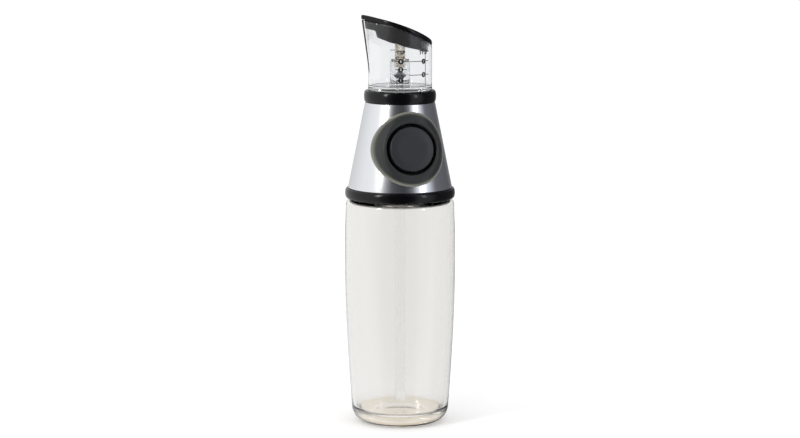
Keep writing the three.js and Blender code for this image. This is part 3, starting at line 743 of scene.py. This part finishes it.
def makeLid():
    count = 240
    t, e = lid["thickness"], lid["edge"]
    away = awayAngles(count)
    edgeReach = [rimOver(cup["radius"], a, t / 2)[0] for a in away]

    def rowAt(share, drop, inward):
        row = []
        for a, reach in zip(away, edgeReach):
            r = (reach - inward) * share
            row.append(placed(r, a, rimHeight(-r * math.cos(a), drop)))
        return row

    rows = [[(0, 0, rimHeight(0, 0))]]
    rows += [rowAt(share, 0, e) for share in (0.2, 0.4, 0.6, 0.8, 0.92, 1)]
    for k in (18, 36, 54, 72, 90):
        turn = math.radians(k)
        rows.append(rowAt(1, e * (1 - math.cos(turn)), e * (1 - math.sin(turn))))
    rows += [rowAt(1, t - 0.8, 0), rowAt(1, t - 0.25, 0.2), rowAt(1, t, 0.7)]
    outer = cup["radius"] - cup["wall"] - cup["gap"]
    skirt = outer - lid["beadProud"]
    inner = skirt - lid["skirtWall"]
    bead, beadEnd = lid["beadAt"], lid["beadAt"] + lid["bead"]
    levels = [(skirt, 0), (skirt, 0.4), (skirt, bead - 0.1), (outer, bead + 0.15), (outer, beadEnd - 0.15),
              (skirt, beadEnd + 0.1), (skirt, lid["skirt"] - 0.3), (skirt - 0.3, lid["skirt"]),
              (inner + 0.3, lid["skirt"]), (inner, lid["skirt"] - 0.3), (inner, 0.4), (inner, 0)]
    for radius, depth in levels:
        row = []
        for a in away:
            deepest = skirtDepth(a)
            # only the rows of the lower edge follow the skirt's depth, the bead keeps its own
            wanted = depth * deepest / lid["skirt"] if depth > beadEnd + 1 else depth
            drop = t + min(wanted, 0.02 + deepest * skirtShare(a))
            row.append(placed(radius, a, rimHeight(-radius * math.cos(a), drop)))
        rows.append(row)
    for share in (0.75, 0.5, 0.25):
        r = inner * share
        rows.append([placed(r, a, rimHeight(-r * math.cos(a), t)) for a in away])
    rows.append([(0, 0, rimHeight(0, t))])
    mesh = meshFromRows("lid", rows, False)
    finished("lid_black", mesh, black, "lid", ["lid"], 40)


def makeSpoutPlug():
    # Wedge under the lid that fills the spout's tip. It rides on the lid.
    outer = cup["radius"] - cup["wall"] - cup["gap"]
    start = cup["radius"] - cup["wall"] + lid["plugSetback"]
    count, levels = 12, 8
    fan = [math.radians(lid["plugHalfAngle"]) * (2 * j / count - 1) for j in range(count + 1)]
    rows = []
    for k in range(levels + 1):
        drop = lid["thickness"] - lid["plugSink"] + k / levels * lid["plugDepth"]
        front = [(rimOver(outer, a, drop)[0], a) for a in fan]
        back = [(min(start, reach - 0.05), a) for reach, a in reversed(front)]
        rows.append([placed(r, a, rimHeight(-r * math.cos(a), drop)) for r, a in front + back])
    middle = [tuple(sum(p[i] for p in row) / len(row) for i in range(3)) for row in (rows[0], rows[-1])]
    mesh = meshFromRows("plug", [[middle[0]]] + rows + [[middle[1]]], False)
    finished("lid_plug", mesh, black, "lid")


nozzle = {
    "stem": 4, "bore": 2, "flange": 6.4, "flangeFrom": 258.3, "flangeTo": 259.7, "radius": 3.6, "hollow": 2.4,
    "roof": 1.2, "slotLength": 11, "slotWidth": 2.2, "slotHeight": 5.5, "slotAt": 266.75,
}


def makeNozzle():
    n = nozzle
    low, high = lowHigh("nozzle_cap")
    top = high.z
    profile = rounded([
        (n["bore"], low.z, 0.1), (n["stem"], low.z, 0.2), (n["stem"], n["flangeFrom"], 0.1),
        (n["flange"], n["flangeFrom"], 0.3), (n["flange"], n["flangeTo"], 0.5),
        (n["radius"], n["flangeTo"], 0.5), (n["radius"], top, 1.0), (0, top, 0),
    ], 4)
    inside = [(0, top - n["roof"]), (n["hollow"], top - n["roof"]), (n["hollow"], n["flangeTo"]),
              (n["bore"], n["flangeFrom"])]
    mesh = turned("nozzle", inside + profile, 64, False)
    size = Matrix.Diagonal((n["slotLength"] * mm, n["slotWidth"] * mm, n["slotHeight"] * mm, 1))
    lift = Matrix.Translation((0, 0, n["slotAt"] * mm))
    for turn in (0, 90):
        slot = bmesh.new()
        bmesh.ops.create_cube(slot, size=1, matrix=lift @ Matrix.Rotation(math.radians(turn), 4, "Z") @ size)
        cutter = bpy.data.meshes.new("slot")
        slot.to_mesh(cutter)
        slot.free()
        mesh = cutWith(mesh, cutter)
    finished("nozzle_outlet", mesh, clearNozzle, "head", ["nozzle_cap"], 35)


makeCup()
makeLid()
makeSpoutPlug()
makeNozzle()
print("cup, lid and outlet made")


# Printed scale on the cup's front
scale = {
    "lift": 0.06, "ink": 0.05, "dot": 1.85, "wordSize": 3.9, "wordBold": 0.035,
    "numberSize": 1.25, "numberBold": 0.01, "numberLift": 0.02,
    "columns": [
        {"turn": 13.7, "word": "TSP", "wordAt": 265.6, "dots": [("3", 259.4), ("2", 253.9), ("1", 246.4)]},
        {"turn": -31.6, "word": "TBSP", "wordAt": 265.4, "dots": [("1", 259.2), ("½", 249.9)]},
    ],
    # height, then the turns in degrees from the button's side where the line starts and ends
    "lines": [(259.4, 24, -46), (253.9, 24, 3), (246.4, 22, 3), (249.9, -2, -46)],
    "farLines": [(264.2, 196, 176), (259.6, 192, 186), (253.9, 194, 182), (246.4, 190, 184)],
    "lineWidth": 0.45, "seam": {"turn": -36.2, "width": 0.5, "from": 242, "to": 267.5},
}


def onCup(mesh, turn, height, lift):
    # Wraps a flat print, drawn in millimetres, onto the cup's wall.
    # Turn is in degrees from the button's side.
    radius = cup["radius"]
    for v in mesh.vertices:
        angle = math.radians(-90 - turn) + v.co.x / radius
        reach = radius + lift + v.co.z
        v.co = Vector((reach * math.cos(angle), reach * math.sin(angle), height + v.co.y)) * mm


def flatShape(points, depth):
    count = len(points)
    mesh = bpy.data.meshes.new("shape")
    top = [(x, y, depth) for x, y in points]
    bottom = [(x, y, 0) for x, y in points]
    sides = [[j, (j + 1) % count, count + (j + 1) % count, count + j] for j in range(count)]
    ends = [list(range(count))[::-1], list(range(count, 2 * count))]
    mesh.from_pydata(bottom + top, [], ends + sides)
    return mesh


def inkLine(start, end, height):
    # A printed line round the cup, between two turns in degrees.
    steps = max(2, int(abs(end - start) / 3))
    half = scale["lineWidth"] / 2
    length = math.radians(start - end) * cup["radius"]
    xs = [length * (i / steps) for i in range(steps + 1)]
    points = [(x, -half) for x in xs] + [(x, half) for x in reversed(xs)]
    mesh = flatShape(points, scale["ink"])
    onCup(mesh, start, height, scale["lift"])
    return mesh


def inkText(text, size, turn, height, lift, bold):
    curve = bpy.data.curves.new("text", "FONT")
    curve.body = text
    curve.size = size
    curve.align_x = "CENTER"
    curve.align_y = "CENTER"
    curve.extrude = scale["ink"] / 2
    curve.offset = bold * size
    mesh = evaluated(addObject("text", curve))
    onCup(mesh, turn, height, lift + scale["ink"] / 2)
    return mesh


def joinedMesh(name, meshes):
    work = bmesh.new()
    for mesh in meshes:
        work.from_mesh(mesh)
    bmesh.ops.recalc_face_normals(work, faces=work.faces)
    joined = bpy.data.meshes.new(name)
    work.to_mesh(joined)
    work.free()
    return joined


def makeScale():
    dark, pale = [], []
    ring = arcPoints((0, 0), scale["dot"], 0, 360, 40)[:-1]
    numberLift = scale["lift"] + scale["ink"] + scale["numberLift"]
    for column in scale["columns"]:
        turn = column["turn"]
        dark.append(inkText(column["word"], scale["wordSize"], turn, column["wordAt"], scale["lift"],
                            scale["wordBold"]))
        for text, height in column["dots"]:
            disc = flatShape(ring, scale["ink"])
            onCup(disc, turn, height, scale["lift"])
            dark.append(disc)
            pale.append(inkText(text, scale["dot"] * scale["numberSize"], turn, height, numberLift,
                                scale["numberBold"]))
    for height, start, end in scale["lines"] + scale["farLines"]:
        dark.append(inkLine(start, end, height))
    seam = scale["seam"]
    half, tall = seam["width"] / 2, (seam["to"] - seam["from"]) / 2
    upright = flatShape([(-half, -tall), (half, -tall), (half, tall), (-half, tall)], scale["ink"])
    onCup(upright, seam["turn"], (seam["from"] + seam["to"]) / 2, scale["lift"])
    dark.append(upright)
    finished("scale_marks", joinedMesh("marks", dark), blackInk, "head")
    finished("scale_numbers", joinedMesh("numbers", pale), whiteInk, "head")


makeScale()
print("scale printed")


# Dip tube, seen through the glass
dipTube = {"radius": 3.8, "bore": 2.7, "slant": 3}


def makeDipTube():
    low, high = lowHigh("dip_tube")
    outer, inner, cut = dipTube["radius"], dipTube["bore"], dipTube["slant"]
    count, levels = 48, 12

    def row(radius, share):
        points = []
        for j in range(count):
            angle = 2 * math.pi * j / count
            x = radius * math.cos(angle)
            foot = low.z + cut * (0.5 - x / (2 * outer))
            points.append((x, radius * math.sin(angle), foot + (high.z - foot) * share))
        return points

    rows = [row(outer - 0.1, 0.0), row(outer, 0.001)]
    rows += [row(outer, k / levels) for k in range(1, levels + 1)]
    rows += [row(inner, k / levels) for k in range(levels, -1, -1)]
    mesh = meshFromRows("tube", rows, True)
    finished("suction_tube", mesh, tubeHaze, "head", ["dip_tube"], 40)


makeDipTube()
print("tube drawn")


# Return spring and housing screws, made by rules. The screws' first angle is in degrees.
spring = {"radius": 13.05, "wire": 0.6, "turns": 4.5, "length": 13.9, "start": -14.1, "pressedShare": 0.4}
screws = {"circle": 30.3, "count": 3, "head": 2.6, "headHeight": 1.2, "shank": 1.4, "length": 13, "first": 90}


def newTree(name, sizes):
    tree = bpy.data.node_groups.new(name, "GeometryNodeTree")
    for key, value in sizes.items():
        kind = "NodeSocketInt" if isinstance(value, int) else "NodeSocketFloat"
        tree.interface.new_socket(key, in_out="INPUT", socket_type=kind).default_value = value
    tree.interface.new_socket("Geometry", in_out="OUTPUT", socket_type="NodeSocketGeometry")
    return tree, addNode(tree, "NodeGroupInput"), addNode(tree, "NodeGroupOutput")


def closeTree(tree, out, geometry, material):
    real = addNode(tree, "GeometryNodeRealizeInstances", links={0: geometry})
    painted = addNode(tree, "GeometryNodeSetMaterial", {"Material": material}, {"Geometry": real.outputs[0]})
    tree.links.new(painted.outputs[0], out.inputs[0])


def meshOfTree(tree, sizes):
    # Runs the tree with its sizes set by socket, and keeps the plain mesh.
    holder = addObject("holder", bpy.data.meshes.new("holder"))
    modifier = holder.modifiers.new("rule", "NODES")
    modifier.node_group = tree
    sockets = {s.name: s.identifier for s in tree.interface.items_tree if s.in_out == "INPUT"}
    for key, value in sizes.items():
        modifier[sockets[key]] = value
    return evaluated(holder)


def makeSpring():
    sizes = {"Radius": spring["radius"] * mm, "Wire": spring["wire"] * mm, "Turns": spring["turns"],
             "Length": (spring["length"] - 2 * spring["wire"]) * mm}
    tree, given, out = newTree("coilSpring", sizes)
    coil = addNode(tree, "GeometryNodeCurveSpiral", {"Resolution": 40}, {
        "Rotations": given.outputs["Turns"], "Start Radius": given.outputs["Radius"],
        "End Radius": given.outputs["Radius"], "Height": given.outputs["Length"]})
    wire = addNode(tree, "GeometryNodeCurvePrimitiveCircle", {"Resolution": 12},
                   {"Radius": given.outputs["Wire"]})
    swept = addNode(tree, "GeometryNodeCurveToMesh", {"Fill Caps": True},
                    {"Curve": coil.outputs[0], "Profile Curve": wire.outputs[0]})
    closeTree(tree, out, swept.outputs[0], steel)
    mesh = meshOfTree(tree, sizes)
    mesh.transform(Matrix.Translation((0, 0, (spring["start"] + spring["wire"]) * mm)))
    mesh.transform(buttonPlace)
    cleanMesh(mesh)
    piece = finished("spring_coil", mesh, steel, "head", ["return_spring"], 60)
    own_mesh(piece)


def makeScrews():
    s = screws
    sizes = {"Circle": s["circle"] * mm, "Head": s["head"] * mm, "HeadHeight": s["headHeight"] * mm,
             "Shank": s["shank"] * mm, "Length": s["length"] * mm, "Count": s["count"]}
    tree, given, out = newTree("screwCircle", sizes)
    head = addNode(tree, "GeometryNodeMeshCone", {"Vertices": 32},
                   {"Radius Top": given.outputs["Head"], "Radius Bottom": given.outputs["Shank"],
                    "Depth": given.outputs["HeadHeight"]})
    shank = addNode(tree, "GeometryNodeMeshCylinder", {"Vertices": 24},
                    {"Radius": given.outputs["Shank"], "Depth": given.outputs["Length"]})
    rise = addNode(tree, "ShaderNodeMath", {1: 0.5}, {0: given.outputs["Length"]}, operation="MULTIPLY")
    lift = addNode(tree, "ShaderNodeCombineXYZ", links={"Z": rise.outputs[0]})
    raised = addNode(tree, "GeometryNodeTransform",
                     links={"Geometry": shank.outputs[0], "Translation": lift.outputs[0]})
    one = addNode(tree, "GeometryNodeJoinGeometry")
    for part in (head.outputs[0], raised.outputs[0]):
        tree.links.new(part, one.inputs[0])
    circle = addNode(tree, "GeometryNodeMeshCircle", links={"Vertices": given.outputs["Count"],
                                                            "Radius": given.outputs["Circle"]})
    copies = addNode(tree, "GeometryNodeInstanceOnPoints",
                     links={"Points": circle.outputs[0], "Instance": one.outputs[0]})
    closeTree(tree, out, copies.outputs[0], steel)
    mesh = meshOfTree(tree, sizes)
    low, _ = lowHigh("housing_screw_1")
    mesh.transform(Matrix.Rotation(math.radians(s["first"]), 4, "Z"))
    mesh.transform(Matrix.Translation((0, 0, low.z * mm)))
    cleanMesh(mesh)
    finished("frame_screws", mesh, steel, "head",
             ["housing_screw_1", "housing_screw_2", "housing_screw_3"])


makeSpring()
makeScrews()
print("spring and screws made")


# Hidden pieces keep their solids and get the finish of the real ones
insideFinish = {
    "neck_gasket": milky, "screw_insert": natural, "cup_seal": milky, "plunger": natural,
    "piston_seal": nitrile, "pump_body": natural, "inlet_socket": natural, "inlet_ball": steel,
    "riser_tube": milky, "outlet_ball": steel,
}
for name, finish in insideFinish.items():
    nodes[name].data.materials.clear()
    nodes[name].data.materials.append(finish)


# Studio: a white sweep, a tall warm light on the left, a cooler strip on the right
studio = {
    "floor": "FBFBFB", "floorLift": 0.24, "floorSize": 30, "world": 0.82,
    # the floor's brightness through clear pieces, in front and behind, and where it changes in metres
    "floorDim": 0.5, "floorBright": 0.97, "dimEnds": -0.4, "brightStarts": -0.09,
    # seen in glossy surfaces, by turn from the camera's side: [turn in degrees, grey]
    "bands": [(-180, "D0D0D0"), (-90, "FFFFFF"), (-50, "FFFFFF"), (-38, "A8A8AA"), (-20, "4C4C4E"),
              (12, "343436"), (30, "66676A"), (42, "F0F2F8"), (66, "E6E9F0"), (84, "6A6A6E"),
              (140, "5C5C60"), (180, "A0A0A0")],
    # seen through the clear pieces: a white backdrop behind, a dimmer room at the sides and in front
    "behind": [(-180, "FFFFFF"), (-140, "FFFFFF"), (-112, "A8A8A8"), (-60, "A2A2A2"), (60, "A2A2A2"),
               (112, "A0A0A0"), (140, "FFFFFF"), (180, "FFFFFF")],
    # turn is in degrees from the camera's side, and the lengths are in metres
    "lights": [
        {"name": "keyLight", "turn": -48, "distance": 1.6, "height": 0.95, "size": (0.25, 0.9), "power": 9,
         "colour": "FFFDF8"},
        {"name": "stripLight", "turn": 52, "distance": 1.5, "height": 0.6, "size": (0.2, 0.8), "power": 2.2,
         "colour": "EEF2FF"},
    ],
    "aim": (0, 0, 0.15),
}


def rampOf(tree, share, stops):
    # Greys set round the full circle, by turn in degrees.
    ramp = addNode(tree, "ShaderNodeValToRGB", links={0: share})
    band = ramp.color_ramp
    while len(band.elements) > 1:
        band.elements.remove(band.elements[0])
    for i, (degrees, grey) in enumerate(stops):
        at = (degrees + 180) / 360
        stop = band.elements[0] if i == 0 else band.elements.new(at)
        stop.position = at
        stop.color = linear(grey)
    return ramp.outputs[0]


def chosen(tree, ray, otherwise, then):
    # One shader for a kind of ray, and another for all the rest.
    return addNode(tree, "ShaderNodeMixShader", links={0: ray, 1: otherwise, 2: then}).outputs[0]


def makeWorld():
    world = bpy.data.worlds.new("studio")
    world.use_nodes = True
    bpy.context.scene.world = world
    tree = world.node_tree
    tree.nodes.clear()
    rays = addNode(tree, "ShaderNodeLightPath")
    place = addNode(tree, "ShaderNodeTexCoord").outputs["Generated"]
    facing = {"Rotation": (0, 0, math.radians(90 - cameraAt["azimuth"]))}
    level = addNode(tree, "ShaderNodeMapping", facing, {"Vector": place})
    parts = addNode(tree, "ShaderNodeSeparateXYZ", links={0: level.outputs[0]})
    turn = addNode(tree, "ShaderNodeMath", links={0: parts.outputs["Y"], 1: parts.outputs["X"]},
                   operation="ARCTAN2")
    circle = {"From Min": -math.pi, "From Max": math.pi}
    share = addNode(tree, "ShaderNodeMapRange", circle, {"Value": turn.outputs[0]}).outputs[0]
    whiteColour = {"Color": (1, 1, 1, 1)}
    white = addNode(tree, "ShaderNodeBackground", whiteColour).outputs[0]
    soft = addNode(tree, "ShaderNodeBackground", {**whiteColour, "Strength": studio["world"]}).outputs[0]
    mirrored, through = [
        addNode(tree, "ShaderNodeBackground", links={"Color": rampOf(tree, share, stops)}).outputs[0]
        for stops in (studio["bands"], studio["behind"])]
    shader = chosen(tree, rays.outputs["Is Glossy Ray"], soft, mirrored)
    shader = chosen(tree, rays.outputs["Is Transmission Ray"], shader, through)
    shader = chosen(tree, rays.outputs["Is Camera Ray"], shader, white)
    addNode(tree, "ShaderNodeOutputWorld", links={"Surface": shader})


def makeFloor():
    floorMaterial, tree, shader = newMaterial("paleStudioFloor", studio["floor"], 0.9)
    shader.inputs["Specular IOR Level"].default_value = 0
    rays = addNode(tree, "ShaderNodeLightPath")
    lift = addNode(tree, "ShaderNodeMath", {1: studio["floorLift"]}, {0: rays.outputs["Is Camera Ray"]},
                   operation="MULTIPLY")
    glow = addNode(tree, "ShaderNodeEmission", {"Color": (1, 1, 1, 1)}, {"Strength": lift.outputs[0]})
    seen = addNode(tree, "ShaderNodeAddShader", links={0: shader.outputs[0], 1: glow.outputs[0]})
    # through clear pieces the floor is white behind the bottle and dim in front, where the room is
    place = addNode(tree, "ShaderNodeTexCoord").outputs["Object"]
    turn = math.radians(cameraAt["azimuth"])
    away = addNode(tree, "ShaderNodeVectorMath", links={0: place}, operation="DOT_PRODUCT")
    away.inputs[1].default_value = (-math.sin(turn), math.cos(turn), 0)
    ends = {"From Min": studio["dimEnds"], "From Max": studio["brightStarts"], "To Min": studio["floorDim"],
            "To Max": studio["floorBright"]}
    level = addNode(tree, "ShaderNodeMapRange", ends, {"Value": away.outputs["Value"]})
    behind = addNode(tree, "ShaderNodeEmission", {"Color": (1, 1, 1, 1)}, {"Strength": level.outputs[0]})
    passing = addNode(tree, "ShaderNodeBsdfTransparent")
    # mirrored rays pass on to the room's bands, so the floor puts no veil on black gloss
    mixed = chosen(tree, rays.outputs["Is Glossy Ray"], seen.outputs[0], passing.outputs[0])
    mixed = chosen(tree, rays.outputs["Is Transmission Ray"], mixed, behind.outputs[0])
    tree.links.new(mixed, tree.nodes["Material Output"].inputs["Surface"])
    half = studio["floorSize"] / 2
    mesh = bpy.data.meshes.new("floor")
    corners = [(-half, -half, 0), (half, -half, 0), (half, half, 0), (-half, half, 0)]
    mesh.from_pydata(corners, [], [[0, 1, 2, 3]])
    mesh.materials.append(floorMaterial)
    addObject("floor", mesh)


def makeLight(light):
    data = bpy.data.lights.new(light["name"], "AREA")
    data.shape = "RECTANGLE"
    data.size, data.size_y = light["size"]
    data.energy = light["power"]
    data.color = linear(light["colour"])[:3]
    placedLight = addObject(light["name"], data)
    angle = math.radians(cameraAt["azimuth"] + light["turn"])
    reach = light["distance"]
    placedLight.location = (math.sin(angle) * reach, -math.cos(angle) * reach, light["height"])
    aim = Vector(studio["aim"]) - placedLight.location
    placedLight.rotation_euler = aim.to_track_quat("-Z", "Y").to_euler()


makeWorld()
makeFloor()
for light in studio["lights"]:
    makeLight(light)
bpy.context.scene.view_settings.view_transform = "Standard"
print("studio lit")
